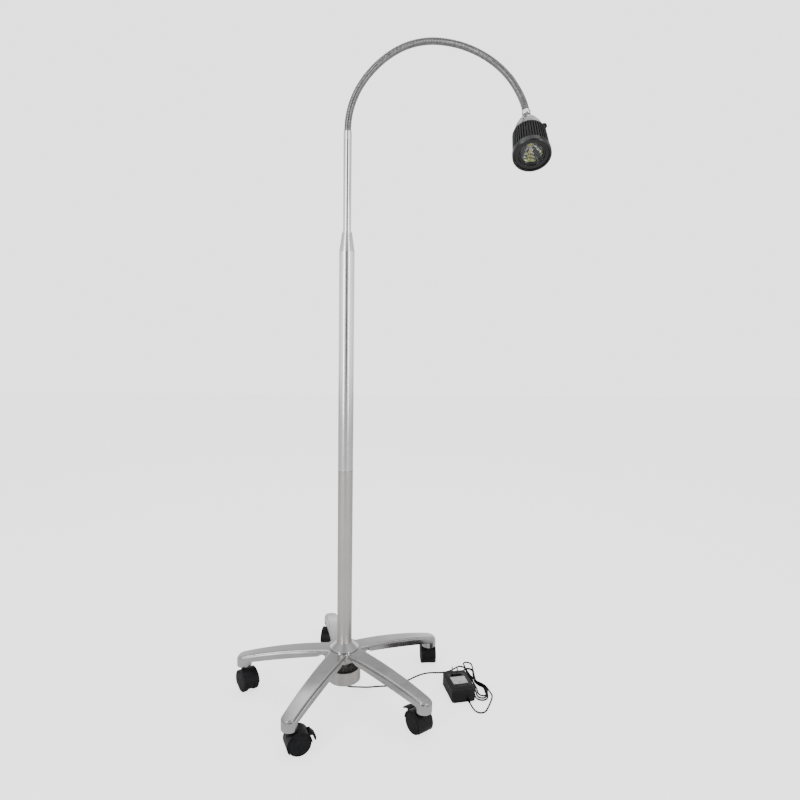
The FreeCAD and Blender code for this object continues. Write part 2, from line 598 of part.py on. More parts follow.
def head(placement):
    barrel_start = "$cap_length"
    bezel_start = "$cap_length + $barrel_length"
    front = "$cap_length + $barrel_length + $bezel_length"
    lens_front = f"{front} - $lens_depth"
    lens_back = f"{lens_front} - $lens_thick"
    board_front = f"{lens_back} - $reflector_depth - 0.5"
    board_back = f"{board_front} - $board_thick"

    cap = turned_body("head_cap", [
        ("$neck_radius + 0.2", "-8"), ("$cap_neck_radius", "-8"), ("$cap_neck_radius", "10"),
        ("0.42 * $cap_radius", "0.3 * $cap_length"), ("0.63 * $cap_radius", "0.47 * $cap_length"),
        ("0.83 * $cap_radius", "0.7 * $cap_length"), ("0.95 * $cap_radius", "0.9 * $cap_length"),
        ("$cap_radius", "$cap_length"), ("$cap_radius - $cap_wall", "$cap_length"),
        ("0.95 * $cap_radius - $cap_wall", "0.9 * $cap_length + 0.6"),
        ("0.83 * $cap_radius - $cap_wall", "0.7 * $cap_length + 1"),
        ("0.63 * $cap_radius - $cap_wall", "0.47 * $cap_length + 1.4"),
        ("0.42 * $cap_radius - $cap_wall", "0.3 * $cap_length + 1.8"),
        ("$neck_radius + 0.2", "12.5")])
    cap.Placement = placement
    keep(cap, "head_cap")
    screw_ring = turned_body("cap_nut", [
        ("$cap_neck_radius", "-6"), ("$cap_neck_radius + 0.6", "-6"),
        ("$cap_neck_radius + 0.9", "-5"), ("$cap_neck_radius + 0.9", "4"),
        ("$cap_neck_radius", "5")])
    screw_ring.Placement = placement
    keep(screw_ring, "cap_nut")

    sink = turned_body("heat_sink", [
        ("$cap_radius - 8", barrel_start), ("$barrel_rear_radius - 1", barrel_start),
        ("$barrel_rear_radius", f"{barrel_start} + 1"),
        ("$barrel_front_radius", bezel_start), ("$board_radius + 2", bezel_start),
        ("$board_radius + 2", board_back), ("$board_radius - 6", board_back),
        ("$board_radius - 6", f"{board_back} - 10"), ("$cap_radius - 8", f"{board_back} - 10")])
    slit = sink.newObject("Sketcher::SketchObject", "rib_slit")
    slit.AttachmentSupport = [(origin_plane(sink, "XY_Plane"), "")]
    slit.MapMode = "FlatFace"
    slit.AttachmentOffset = place(0, 0, evaluate(barrel_start) + size("rib_start"))
    inner = size("barrel_rear_radius") - size("rib_depth")
    outer = size("barrel_front_radius") + 3
    half = size("rib_gap") / 2
    corners = [V(inner, -half, 0), V(outer, -half, 0), V(outer, half, 0), V(inner, half, 0)]
    for i in range(4):
        slit.addGeometry(Part.LineSegment(corners[i], corners[(i + 1) % 4]), False)
    doc.recompute()
    pocket = sink.newObject("PartDesign::Pocket", "rib_pocket")
    pocket.Profile = slit
    pocket.Reversed = True
    pocket.Length = 10
    pocket.setExpression("Length", "Dims.barrel_length - Dims.rib_start + 1")
    doc.recompute()
    ribs = sink.newObject("PartDesign::PolarPattern", "rib_pattern")
    ribs.Originals = [pocket]
    ribs.Axis = (slit, ["N_Axis"])
    ribs.Angle = 360
    ribs.setExpression("Occurrences", "Dims.rib_count")
    sink.Tip = ribs
    doc.recompute()
    sink.Placement = placement
    keep(sink, "heat_sink")

    bezel = turned_body("bezel_ring", [
        ("$opening_radius", lens_front), ("$opening_radius + 1.4", f"{lens_front} + 1.2"),
        ("$bezel_step", f"{lens_front} + 1.6"), ("$bezel_step + 0.8", f"{front} - 4.5"),
        ("$bezel_mouth - 1.5", f"{front} - 3.5"), ("$bezel_mouth", front),
        ("$bezel_radius - 1.5", front), ("$bezel_radius", f"{front} - 1.5"),
        ("$bezel_radius", f"{bezel_start} + 1.5"), ("$bezel_radius - 1.2", f"{bezel_start} + 0.2"),
        ("$board_radius + 2", f"{bezel_start} + 0.2"), ("$board_radius + 2", lens_back),
        ("$board_radius - 0.5", lens_back), ("$board_radius - 0.5", lens_front)])
    bezel.Placement = placement
    keep(bezel, "bezel_ring")
    lens = turned_body("lens", [
        ("0", lens_back), ("$board_radius - 0.7", lens_back),
        ("$board_radius - 0.7", f"{lens_front} - 0.1"), ("0", f"{lens_front} - 0.1")])
    lens.Placement = placement
    keep(lens, "lens")
    reflector = turned_body("reflector", [
        ("$reflector_throat", f"{board_front} + 0.5"),
        ("$reflector_throat + 1.2", f"{board_front} + 0.5"),
        ("0.62 * $opening_radius + 1.2", f"{lens_back} - 0.72 * $reflector_depth"),
        ("0.86 * $opening_radius + 1.2", f"{lens_back} - 0.36 * $reflector_depth"),
        ("$opening_radius + 1.2", f"{lens_back} - 1.2"),
        ("$board_radius - 0.7", f"{lens_back} - 1.2"), ("$board_radius - 0.7", f"{lens_back} - 0.1"),
        ("$opening_radius", f"{lens_back} - 0.1"),
        ("0.86 * $opening_radius", f"{lens_back} - 0.36 * $reflector_depth"),
        ("0.62 * $opening_radius", f"{lens_back} - 0.72 * $reflector_depth")])
    reflector.Placement = placement
    keep(reflector, "reflector")
    board = primitive("Part::Cylinder", "board_plate", Radius="$board_radius",
                      Height="$board_thick")
    chip = primitive("Part::Cylinder", "board_chip", Radius="$reflector_throat - 1.2",
                     Height="$board_thick + 1.6")
    module = fused("led_board", [board, chip])
    module.Placement = placement.multiply(
        place(0, 0, evaluate(board_front) - size("board_thick")))
    keep(module, "led_board")


def head_switch(placement):
    """Push switch on the shoulder of the cap: a housing and the button it guides."""
    angle = math.radians(SWITCH_BEARING)
    out = V(math.cos(angle), math.sin(angle), 0)
    slope = FreeCAD.Rotation(UP, V(out.x, out.y, -SWITCH_LEAN))
    seat = out * (0.9 * size("cap_radius") - 1.2) + UP * (0.8 * size("cap_length"))
    local = FreeCAD.Placement(seat, slope)
    shell = primitive("Part::Cylinder", "switch_shell", Radius="6", Height="5")
    well = primitive("Part::Cylinder", "switch_well", place(0, 0, 1.6), Radius="4.4", Height="5")
    housing = cut("switch_housing", shell, [well])
    housing.Placement = placement.multiply(local)
    keep(housing, "switch_housing")
    button = primitive("Part::Cylinder", "switch_button", Radius="4.2", Height="5.2")
    button.Placement = placement.multiply(local).multiply(place(0, 0, 2.6))
    keep(button, "switch_button")


# ---------------------------------------------------------------- adapter and its lead

def adapter_shell(name, low, high, open_top):
    """Half of the adapter's case: a rounded box with an open inner side."""
    def block(grow, bottom, top):
        wide = size("adapter_wide") / 2 + grow
        long = size("adapter_long") / 2 + grow
        solid = Part.makeBox(2 * wide, 2 * long, top - bottom, V(-wide, -long, bottom))
        upright = [e for e in solid.Edges if abs(e.Vertexes[0].Z - e.Vertexes[1].Z) > 1]
        return solid.makeFillet(size("adapter_round") + grow, upright)

    wall = size("adapter_wall")
    outer = block(0, low, high)
    face = low if open_top else high
    rim = [e for e in outer.Edges if all(abs(v.Z - face) < 1e-6 for v in e.Vertexes)]
    outer = outer.makeFillet(size("adapter_edge"), rim)
    if open_top:
        return outer.cut(block(-wall, low + wall, high + 1))
    return outer.cut(block(-wall, low - 1, high - wall))


def adapter():
    turn = place(size("adapter_x"), size("adapter_y"), 0, UP, size("adapter_turn"))
    split = size("adapter_split")
    high = size("adapter_high")
    base = adapter_shell("adapter_base", 0, split - 0.2, True)
    cover = adapter_shell("adapter_cover", split + 0.2, high, False)
    far = size("prong_from_middle")
    half = size("prong_spacing") / 2
    recess = Part.makeBox(30, 9, 2, V(-15, far - 15, high - 1.1))
    slots = []
    prongs = []
    for side in (-1, 1):
        corner = V(side * half - size("prong_thick") / 2, far - size("prong_wide") / 2, 0)
        prong = Part.makeBox(size("prong_thick"), size("prong_wide"),
                             size("prong_length") + 8, corner + UP * (high - 8))
        tip = [e for e in prong.Edges
               if abs(e.Vertexes[0].Z - e.Vertexes[1].Z) < 1e-6
               and e.Vertexes[0].Z > high and abs(e.Vertexes[0].Y - e.Vertexes[1].Y) < 1e-6]
        prong = prong.makeFillet(1.6, tip)
        slots.append(Part.makeBox(size("prong_thick"), size("prong_wide"), 12,
                                  corner + UP * (high - 8)))
        hole = Part.makeCylinder(1.5, 4, corner + V(-1, size("prong_wide") / 2,
                                                    high + size("prong_length") - 4), V(1, 0, 0))
        prongs.append(prong.cut(hole))
    cover = cover.cut([recess] + slots)
    notch_at = V(size("boot_from_middle"), -size("adapter_long") / 2, size("boot_height"))
    base = base.cut(Part.makeCylinder(3.2, 8, notch_at + V(0, 4, 0), V(0, -1, 0)))
    core = Part.makeBox(36, 42, 22, V(-18, -26, 2.6))
    windings = core.makeFillet(3, core.Edges)
    boot = Part.makeCone(3.2, 2.4, size("boot_length"), notch_at, V(0, -1, 0))
    root = Part.makeCylinder(3.2, 3.6, notch_at + V(0, 3.6, 0), V(0, -1, 0))
    collar = Part.makeCylinder(4.2, 1.4, notch_at + V(0, 3.6, 0), V(0, -1, 0))
    boot = boot.fuse([root, collar]).removeSplitter()
    for label, shape in (("adapter_base", base), ("adapter_cover", cover),
                         ("adapter_prongs", Part.Compound(prongs)),
                         ("adapter_transformer", windings), ("adapter_boot", boot)):
        item = doc.addObject("Part::Feature", label)
        item.Shape = shape
        item.Placement = turn
        keep(item, label)


def lead(name, route):
    """A round lead along straight runs joined by tangent arcs as large as they allow."""
    points = [V(*p) for p in route]
    edges = []
    start = points[0]
    radii = []
    for before, here, after in zip(points, points[1:], points[2:]):
        into = (here - before).normalize()
        away = (after - here).normalize()
        half_turn = into.getAngle(away) / 2
        tangent = 0.45 * min((here - before).Length, (after - here).Length)
        radius = tangent / math.tan(half_turn)
        radii.append(round(radius, 1))
        first = here - into * tangent
        last = here + away * tangent
        bisector = (away - into).normalize()
        middle = here + bisector * (radius / math.cos(half_turn) - radius)
        edges.append(Part.LineSegment(start, first).toShape())
        edges.append(Part.Arc(first, middle, last).toShape())
        start = last
    edges.append(Part.LineSegment(start, points[-1]).toShape())
    path = Part.Wire(edges)
    length = path.Length
    section = Part.Wire([Part.Circle(points[0], points[1] - points[0],
                                     size("lead_radius")).toShape()])
    solid = path.makePipeShell([section], True, False)
    expected = math.pi * size("lead_radius") ** 2 * length
    print(name, "length", round(length, 1), "volume ratio", round(solid.Volume / expected, 4),
          "smallest radius", min(radii), "radii", radii)
    item = doc.addObject("Part::Feature", name)
    item.Shape = solid
    keep(item, name)


def hank_prism(outline):
    points = [V(x, y, size("hank_under")) for x, y in outline]
    edges = [Part.LineSegment(a, b).toShape() for a, b in zip(points, points[1:] + points[:1])]
    return Part.Face(Part.Wire(edges)).extrude(V(0, 0, size("hank_height")))


def lead_hank():
    """Outer shape of the folded part of the lead, open inside its longest loop."""
    item = doc.addObject("Part::Feature", "lead_hank")
    item.Shape = hank_prism(HANK_OUTLINE).cut(hank_prism(HANK_OPENING))
    keep(item, "lead_hank")


# ---------------------------------------------------------------- build and write

star_base()
post()
ballast()
casters()
frames = neck_frames()
neck(frames)
head_placement = on_head(frames)
head(head_placement)
head_switch(head_placement)
adapter()
lead("lead_run", LEAD_RUN)
lead("lead_tail", LEAD_TAIL)
lead_hank()
doc.recompute()

faults = []
for item in doc.Objects:
    if "Invalid" in item.State or "Error" in item.State:
        faults.append(f"{item.Name}: {item.State}")
for item in PARTS:
    if item.Shape.isNull() or not item.Shape.isValid() or item.Shape.Volume <= 0:
        faults.append(f"{item.Label}: bad shape")
if faults:
    raise RuntimeError("; ".join(faults))

os.makedirs("parts", exist_ok=True)
for item in PARTS:
    item.Shape.exportStep(f"parts/{item.Label}.step")
    box = item.Shape.BoundBox
    print(f"{item.Label:28s} volume {item.Shape.Volume:10.0f}  solids {len(item.Shape.Solids)}"
          f"  z {box.ZMin:8.2f} {box.ZMax:8.2f}")
print(len(PARTS), "pieces")
for point, direction, axis in frames:
    print("neck joint", [round(c, 3) for c in point], [round(c, 4) for c in direction],
          [round(c, 4) for c in axis])
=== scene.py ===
"""Mobile examination lamp on five casters: its looks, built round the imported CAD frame."""
import json
import math

import bpy
from mathutils import Matrix, Vector


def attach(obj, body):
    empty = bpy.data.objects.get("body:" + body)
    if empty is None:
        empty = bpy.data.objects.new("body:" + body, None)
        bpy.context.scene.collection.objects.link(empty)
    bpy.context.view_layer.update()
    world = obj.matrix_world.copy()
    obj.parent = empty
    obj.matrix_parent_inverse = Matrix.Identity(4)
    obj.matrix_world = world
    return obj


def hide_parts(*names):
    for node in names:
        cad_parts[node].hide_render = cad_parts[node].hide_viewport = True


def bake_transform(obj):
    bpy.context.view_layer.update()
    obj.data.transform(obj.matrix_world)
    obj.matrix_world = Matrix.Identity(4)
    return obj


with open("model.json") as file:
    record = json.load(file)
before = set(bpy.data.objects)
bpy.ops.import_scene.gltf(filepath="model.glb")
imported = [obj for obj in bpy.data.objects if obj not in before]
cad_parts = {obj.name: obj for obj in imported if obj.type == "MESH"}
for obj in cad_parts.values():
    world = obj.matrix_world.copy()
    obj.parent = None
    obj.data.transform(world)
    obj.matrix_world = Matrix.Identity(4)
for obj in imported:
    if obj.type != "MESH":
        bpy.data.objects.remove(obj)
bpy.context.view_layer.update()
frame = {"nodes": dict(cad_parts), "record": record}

# Places and sizes are in millimetres where nothing else is said.
MM = 0.001

# ---------------------------------------------------------------- camera

CAMERA_PLACE = (0, -1.427, 0.8695)      # metres
CAMERA_TURN, CAMERA_TILT, CAMERA_LEAN = 0.084, 0.124, 0.017     # radians
SENSOR_WIDTH, FOCAL_LENGTH = 36, 29.107


def make_camera():
    """A camera in front of the lamp and over half its height up, turned a little down."""
    turn, tilt, lean = CAMERA_TURN, CAMERA_TILT, CAMERA_LEAN
    forward = Vector((math.sin(turn) * math.cos(tilt), math.cos(turn) * math.cos(tilt),
                      -math.sin(tilt)))
    level = Vector((math.cos(turn), -math.sin(turn), 0))
    upright = level.cross(forward)
    right = level * math.cos(lean) + upright * math.sin(lean)
    up = upright * math.cos(lean) - level * math.sin(lean)
    data = bpy.data.cameras.new("camera")
    data.sensor_width = SENSOR_WIDTH
    data.lens = FOCAL_LENGTH
    camera = bpy.data.objects.new("camera", data)
    bpy.context.collection.objects.link(camera)
    placed = Matrix((right, up, -forward)).transposed().to_4x4()
    placed.translation = CAMERA_PLACE
    camera.matrix_world = placed
    bpy.context.scene.camera = camera


make_camera()

# ---------------------------------------------------------------- the lead

LEAD_DIAMETER = 3.6

# From the foot of the ballast, over the floor and behind the adapter.
LEAD_RUN = (
    (0, 0, 27), (1, 0.3, 19.5), (6, 2, 13), (14, 5, 9.2), (25, 8.5, 6.2), (38, 11.5, 3.6),
    (56, 11.6, 2.3), (80, 14.5, 2.2), (106, 14.6, 2.2), (132, 22, 2.2), (154, 36.5, 2.2),
    (174, 52, 2.2), (193, 63.5, 2.2), (213, 68, 2.2), (233, 66.4, 2.2), (250, 67.5, 2.2),
    (264.5, 74, 2.2), (276.5, 83.5, 2.4), (285.7, 92, 2.6), (295.7, 92, 2.6),
    (302.7, 85, 2.4), (302.8, 73, 2.2),
)
# From the adapter's boot, round over the floor and into the hank.
LEAD_TAIL = (
    (285.07, -70.21, 7.4), (286.6, -80.5, 6.5), (290, -91.5, 4.2), (295.6, -100.3, 2.7),
    (304.8, -103.7, 2.2), (314.1, -100.7, 2.2), (320.8, -91.5, 2.2), (327, -80, 2.2),
    (333.8, -66, 2.2), (340.6, -52, 2.4), (344.8, -38, 3.6), (340.5, -25.5, 5.4),
)
WAIST_Y = 26                            # where the hank's strands come together
BEND_Y = 4                              # where a strand turns out of the waist
LOWER_SIDE_Y = -16                      # where the lower lobe's left side begins
LOWER_BULGE_Y = -7                      # where its right side is widest
LONG_LOBE_END = 100                     # an upper lobe that ends beyond this is a long one
LOBE_SWELL = 1.08                       # control points lie this much outside a round end
# Turns of the hank: strand going down (x, z at the waist); lower lobe (left, end, right,
# bulge, z); strand coming up (x, z at the waist); upper lobe (end, middle, half width, z where
# it begins and where it ends).
TURNS = (
    ((306.6, 2.2), (304.8, -55, 332.4, 340, 2.2), (317.7, 2.2), (108, 311.9, 10.4, 2.2, 6)),
    ((310.5, 2.4), (308.4, -52.5, 329.6, 331.2, 5.9), (314.1, 2.3), (68, 305.5, 10.8, 9, 9.4)),
    ((308.3, 5.9), (311.4, -49, 332.2, 332.6, 9.4), (316, 5.9), (63.5, 305, 10.8, 12.6, 12.8)),
)
LAST_STRAND = ((309.6, 31, 10.4), (311.6, 20, 9.8), (317, 8, 11), (325.5, -3.5, 12.8),
               (334.4, -14.5, 12.2))


def lobe(middle, end, half, z_first, z_last, start_angle, end_angle):
    """Control points round the rounded end of a lobe, its tip at y = end."""
    way = 1 if start_angle < 180 else -1
    centre_y = end - way * half
    out = half * LOBE_SWELL
    steps = 4
    for step in range(steps + 1):
        angle = math.radians(start_angle + (end_angle - start_angle) * step / steps)
        height = z_first + (z_last - z_first) * step / steps
        yield middle + out * math.cos(angle), centre_y + out * math.sin(angle), height


def hank():
    """Control points of the folded part of the lead, turn by turn."""
    for down, lower, up, upper in TURNS:
        left, low, right, bulge, lower_z = lower
        high, middle, half, first_z, last_z = upper
        radius = (right - left) / 2
        yield down[0], WAIST_Y + 6, down[1]
        yield down[0], WAIST_Y - 6, down[1]
        yield (down[0] + left) / 2, BEND_Y, (down[1] + lower_z) / 2
        yield left, LOWER_SIDE_Y, lower_z
        yield left, (low + radius + LOWER_SIDE_Y) / 2 - 1, lower_z
        yield from lobe((left + right) / 2, low, radius, lower_z, lower_z, 180, 360)
        yield (right + bulge) / 2, LOWER_SIDE_Y - 6, lower_z
        yield bulge, LOWER_BULGE_Y, (2 * lower_z + up[1]) / 3
        yield (bulge + 2 * up[0]) / 3, BEND_Y + 4, up[1]
        yield up[0], WAIST_Y - 3, up[1]
        side_y = high - half
        yield (middle + half + up[0]) / 2, (side_y + WAIST_Y) / 2, (up[1] + first_z) / 2
        yield from lobe(middle, high, half, first_z, last_z, 0, 180)
        if high > LONG_LOBE_END:
            left_side = middle - half
            yield left_side + 0.6, side_y - 16, last_z
            yield left_side + 2.2, side_y - 34, last_z
            yield left_side + 6.4, side_y - 50, last_z - 0.6
        else:
            yield middle - half * 0.72, side_y - 11, last_z


def make_lead():
    """The whole lead as one smooth curve, from the grommet to the adapter's boot."""
    points = [*LEAD_RUN, *hank(), *LAST_STRAND, *reversed(LEAD_TAIL)]
    curve = bpy.data.curves.new("lead", "CURVE")
    curve.dimensions = "3D"
    curve.bevel_depth = LEAD_DIAMETER / 2 * MM
    curve.bevel_resolution = 5
    curve.use_fill_caps = True
    curve.resolution_u = 10
    spline = curve.splines.new("NURBS")
    spline.points.add(len(points) - 1)
    for control, point in zip(spline.points, points):
        control.co = (*(c * MM for c in point), 1)
    spline.order_u = 3
    spline.use_endpoint_u = True
    piece = bpy.data.objects.new("lead", curve)
    bpy.context.collection.objects.link(piece)
    return piece


lead = make_lead()

# ---------------------------------------------------------------- materials


class Paint:
    """A procedural material: one Principled shader fed by textures in object space."""

    def __init__(self, name, values, colours, stretch=(1, 1, 1)):
        self.material = bpy.data.materials.new(name)
        self.material.use_nodes = True
        tree = self.material.node_tree
        self.nodes, self.links = tree.nodes, tree.links
        self.shader = next(n for n in tree.nodes if n.type == "BSDF_PRINCIPLED")
        for socket, value in values.items():
            self.shader.inputs[socket].default_value = value
        place = self.nodes.new("ShaderNodeTexCoord").outputs["Object"]
        mapping = self.nodes.new("ShaderNodeMapping")
        self.links.new(place, mapping.inputs["Vector"])
        mapping.inputs["Scale"].default_value = stretch
        self.place, self.stretched = place, mapping.outputs["Vector"]
        first, second, grain = colours
        self.colour(first, second, self.noise(*grain))

    def noise(self, scale, detail=3, roughness=0.5, stretched=False):
        node = self.nodes.new("ShaderNodeTexNoise")
        node.inputs["Scale"].default_value = scale
        node.inputs["Detail"].default_value = detail
        node.inputs["Roughness"].default_value = roughness
        self.links.new(self.stretched if stretched else self.place, node.inputs["Vector"])
        return node.outputs["Fac"]

    def spread(self, value, low, high):
        """A noise's usual range of 0.3 to 0.7, stretched to run from low to high."""
        node = self.nodes.new("ShaderNodeMapRange")
        self.links.new(value, node.inputs["Value"])
        for socket, number in zip(("From Min", "From Max", "To Min", "To Max"),
                                  (0.3, 0.7, low, high)):
            node.inputs[socket].default_value = number
        return node.outputs["Result"]

    def colour(self, first, second, factor):
        node = self.nodes.new("ShaderNodeMix")
        node.data_type = "RGBA"
        self.links.new(self.spread(factor, 0, 1), node.inputs["Factor"])
        node.inputs["A"].default_value = (*first, 1)
        node.inputs["B"].default_value = (*second, 1)
        self.links.new(node.outputs["Result"], self.shader.inputs["Base Color"])

    def roughen(self, low, high, value):
        self.links.new(self.spread(value, low, high), self.shader.inputs["Roughness"])

    def bump(self, *layers):
        """Layers of a height texture and its depth, each on top of the one before."""
        normal = None
        for height, depth in layers:
            node = self.nodes.new("ShaderNodeBump")
            node.inputs["Distance"].default_value = depth * MM
            self.links.new(height, node.inputs["Height"])
            if normal:
                self.links.new(normal, node.inputs["Normal"])
            normal = node.outputs["Normal"]
        self.links.new(normal, self.shader.inputs["Normal"])


def make_paints():
    """Every material by name; colours are two shades and the noise that mixes them."""
    paints = {}

    def add(name, values, colours, stretch=(1, 1, 1)):
        paints[name] = Paint(name, values, colours, stretch)
        return paints[name]

    cast = add("cast_aluminium", {"Metallic": 1.0},
               ((0.52, 0.51, 0.512), (0.62, 0.607, 0.61), (16, 2)))
    cast.roughen(0.14, 0.24, cast.noise(24, 2, 0.5))
    cast.bump((cast.noise(11, 1), 1.0), (cast.noise(42, 1), 0.04), (cast.noise(2400, 1), 0.0005))

    collar = add("turned_collar", {"Metallic": 1.0},
                 ((0.74, 0.74, 0.74), (0.82, 0.82, 0.82), (30, 2)), (1, 1, 30))
    collar.roughen(0.05, 0.12, collar.noise(60, 3, 0.5, True))
    collar.bump((collar.noise(30, 3, 0.5, True), 0.012))

    satin = add("satin_tube", {"Metallic": 1.0, "Anisotropic": 0.4},
                ((0.6, 0.58, 0.555), (0.7, 0.68, 0.655), (9, 3)), (1, 1, 0.02))
    satin.roughen(0.26, 0.4, satin.noise(900, 3, 0.6, True))
    satin.bump((satin.noise(1400, 2, 0.5, True), 0.004), (satin.noise(16, 2), 0.1))

    bright = add("bright_tube", {"Metallic": 1.0},
                 ((0.84, 0.84, 0.845), (0.92, 0.92, 0.925), (12, 3)), (1, 1, 0.03))
    bright.roughen(0.19, 0.25, bright.noise(400, 2, 0.5, True))
    bright.bump((bright.noise(1100, 1, 0.5, True), 0.0004), (bright.noise(12, 1), 0.03))

    chrome = add("polished_tube", {"Metallic": 1.0},
                 ((0.8, 0.8, 0.805), (0.88, 0.88, 0.885), (14, 2)), (1, 1, 0.03))
    chrome.roughen(0.05, 0.1, chrome.noise(300, 2, 0.5, True))
    chrome.bump((chrome.noise(12, 1), 0.02))

    cap = add("spun_cap", {"Metallic": 1.0},
              ((0.16, 0.163, 0.17), (0.23, 0.233, 0.24), (20, 3)))
    cap.roughen(0.14, 0.24, cap.noise(120, 4, 0.6))
    cap.bump((cap.noise(26, 2), 0.12), (cap.noise(900, 2), 0.0015))

    hose = add("neck_hose", {"Metallic": 1.0},
               ((0.2, 0.198, 0.205), (0.33, 0.327, 0.335), (160, 2)))
    hose.roughen(0.16, 0.3, hose.noise(220, 3))
    hose.bump((hose.noise(1500, 1), 0.002))

    steel = add("machined_steel", {"Metallic": 1.0},
                ((0.5, 0.5, 0.505), (0.62, 0.62, 0.625), (45, 3)), (1, 1, 6))
    steel.roughen(0.22, 0.38, steel.noise(300, 3, 0.6, True))
    steel.bump((steel.noise(900, 3, 0.5, True), 0.015))

    iron = add("rough_iron", {"Metallic": 0.6},
               ((0.03, 0.028, 0.026), (0.16, 0.15, 0.14), (260, 5)))
    iron.roughen(0.5, 0.75, iron.noise(150, 3))
    iron.bump((iron.noise(420, 4, 0.6), 0.35))

    nylon = add("moulded_nylon", {"Specular IOR Level": 0.2},
                ((0.007, 0.007, 0.008), (0.014, 0.014, 0.016), (90, 4)))
    nylon.roughen(0.3, 0.44, nylon.noise(70, 4))
    nylon.bump((nylon.noise(35, 2), 0.12), (nylon.noise(2600, 2), 0.02))

    tread = add("wheel_nylon", {"Specular IOR Level": 0.15},
                ((0.008, 0.008, 0.009), (0.018, 0.018, 0.02), (120, 5)))
    tread.roughen(0.42, 0.62, tread.noise(160, 4))
    tread.bump((tread.noise(1200, 3), 0.03))

    cover = add("lead_cover", {"Specular IOR Level": 0.15},
                ((0.004, 0.004, 0.005), (0.009, 0.009, 0.01), (300, 3)))
    cover.roughen(0.34, 0.5, cover.noise(500, 3))
    cover.bump((cover.noise(1700, 2), 0.02))

    ribs = add("anodised_ribs", {"Specular IOR Level": 0.16},
               ((0.006, 0.006, 0.007), (0.013, 0.013, 0.014), (110, 3)))
    ribs.roughen(0.32, 0.44, ribs.noise(260, 3))
    ribs.bump((ribs.noise(2200, 2), 0.012))

    ring = add("anodised_ring", {"Specular IOR Level": 0.6},
               ((0.005, 0.005, 0.006), (0.01, 0.01, 0.011), (60, 3)))
    ring.roughen(0.16, 0.24, ring.noise(90, 3))
    ring.bump((ring.noise(2600, 2), 0.008))

    case = add("adapter_case", {"Specular IOR Level": 0.24},
               ((0.011, 0.011, 0.012), (0.019, 0.019, 0.021), (70, 4)))
    case.roughen(0.42, 0.55, case.noise(180, 3))
    case.bump((case.noise(3200, 2, 0.6), 0.05))

    glass = add("lens_clear", {"Transmission Weight": 1.0, "IOR": 1.49},
                ((0.93, 0.95, 0.96), (0.98, 0.99, 1.0), (60, 2)))
    glass.roughen(0.0, 0.03, glass.noise(200, 2))

    mirror = add("reflector_bright", {"Metallic": 1.0},
                 ((0.84, 0.83, 0.8), (0.9, 0.89, 0.87), (150, 2)))
    mirror.roughen(0.05, 0.12, mirror.noise(400, 2))

    # Facet colours that are painted reflections: of the dark room, of warm light, and of the
    # yellow emitter.
    for name, dark, light in (("facet_dusk", (0.05, 0.055, 0.065), (0.12, 0.13, 0.15)),
                              ("facet_cream", (0.7, 0.52, 0.3), (0.9, 0.76, 0.52)),
                              ("facet_lime", (0.5, 0.55, 0.18), (0.68, 0.72, 0.34))):
        facet = add(name, {"Metallic": 1.0}, (dark, light, (260, 2)))
        facet.roughen(0.08, 0.16, facet.noise(400, 2))

    board = add("board", {"Specular IOR Level": 0.4},
                ((0.66, 0.7, 0.62), (0.74, 0.78, 0.68), (300, 2)))
    board.roughen(0.35, 0.5, board.noise(700, 2))

    emitter = add("yellow_emitter", {"Specular IOR Level": 0.6, "Coat Weight": 0.6},
                  ((0.62, 0.62, 0.12), (0.8, 0.76, 0.2), (500, 2)))
    emitter.roughen(0.25, 0.4, emitter.noise(900, 2))

    prong = add("plated_prong", {"Metallic": 1.0},
                ((0.6, 0.56, 0.48), (0.72, 0.68, 0.6), (180, 3)), (1, 1, 0.2))
    prong.roughen(0.22, 0.36, prong.noise(900, 3, 0.6, True))
    prong.bump((prong.noise(1600, 2, 0.5, True), 0.01))

    # Near-black painted shade, for the flat plate that stands for the recess behind the prongs.
    recess = add("dark_recess", {"Specular IOR Level": 0.05},
                 ((0.001, 0.001, 0.001), (0.003, 0.003, 0.003), (90, 3)))
    recess.roughen(0.6, 0.8, recess.noise(240, 3))
    recess.bump((recess.noise(900, 2), 0.02))

    label = add("plain_label", {"Specular IOR Level": 0.4},
                ((0.4, 0.4, 0.41), (0.86, 0.86, 0.87), (150, 4)))
    label.roughen(0.35, 0.5, label.noise(240, 3))
    label.bump((label.noise(500, 2), 0.02))

    floor = add("pale_floor", {"Specular IOR Level": 0.2},
                ((0.86, 0.86, 0.86), (0.89, 0.89, 0.89), (3, 3)))
    floor.roughen(0.7, 0.85, floor.noise(12, 3))
    return {name: paint.material for name, paint in paints.items()}


PAINTS = make_paints()
# The paint of each material in the part's record, and of the nodes that differ from it.
SLOT_PAINTS = {
    "cast_aluminium": "cast_aluminium", "post_tube": "satin_tube", "bright_tube": "bright_tube",
    "steel": "machined_steel", "iron": "rough_iron", "nylon": "moulded_nylon",
    "lead_cover": "lead_cover", "black_metal": "anodised_ribs", "adapter_case": "adapter_case",
    "lens_clear": "lens_clear", "reflector_bright": "reflector_bright", "board": "board",
    "brass_prong": "plated_prong", "neck_hose": "neck_hose",
}
NODE_PAINTS = {
    "neck_tube": "polished_tube", "hub_collar": "turned_collar", "head_cap": "spun_cap",
    "bezel_ring": "anodised_ring",
}


def paint(piece, name):
    piece.data.materials.clear()
    piece.data.materials.append(PAINTS[name])


def paint_nodes():
    for part in frame["record"]["subparts"]:
        node = part["node"]
        name = NODE_PAINTS.get(node, SLOT_PAINTS[part["material_slot"]])
        if "_wheel_" in node:
            name = "wheel_nylon"
        piece = frame["nodes"][node]
        if not piece.data.materials:
            piece.data.materials.append(None)
        for index in range(len(piece.data.materials)):
            piece.data.materials[index] = PAINTS[name]


paint_nodes()

# ---------------------------------------------------------------- mesh helpers


